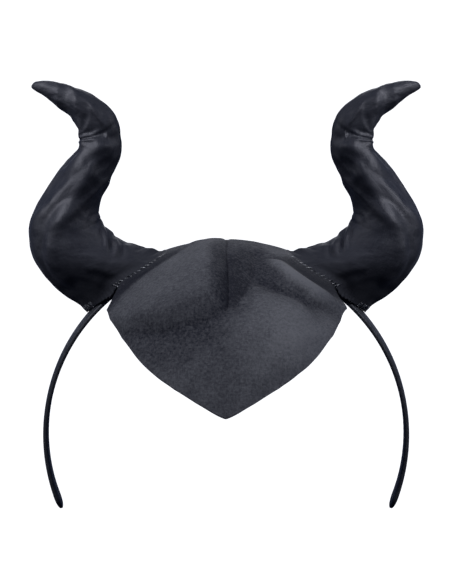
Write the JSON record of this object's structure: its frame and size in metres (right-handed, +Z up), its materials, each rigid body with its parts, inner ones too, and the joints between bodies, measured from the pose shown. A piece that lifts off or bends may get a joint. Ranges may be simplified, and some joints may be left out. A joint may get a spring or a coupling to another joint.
{
  "type": "horned headpiece",
  "caption": "Costume headpiece: a headband carries a pointed felt forehead panel and a pair of stuffed satin horns with an S-curve.",
  "frame": {"origin": "underside of the headband at its top, on the wearer's middle plane, where it sits on the crown of the head", "axes": "+Z up, -Y the way the wearer looks, +X towards the wearer's left"},
  "size_m": [0.165, 0.093, 0.1796],
  "materials": {
    "band_satin": "plain black satin over a stiff strip",
    "charcoal_felt": "matt charcoal felt with a fine grain",
    "black_satin": "black satin with soft highlights"
  },
  "bodies": {
    "root": {"headband": "band_satin", "front_panel": "charcoal_felt", "horn_left": "black_satin", "horn_right": "black_satin"}
  },
  "joints": []
}
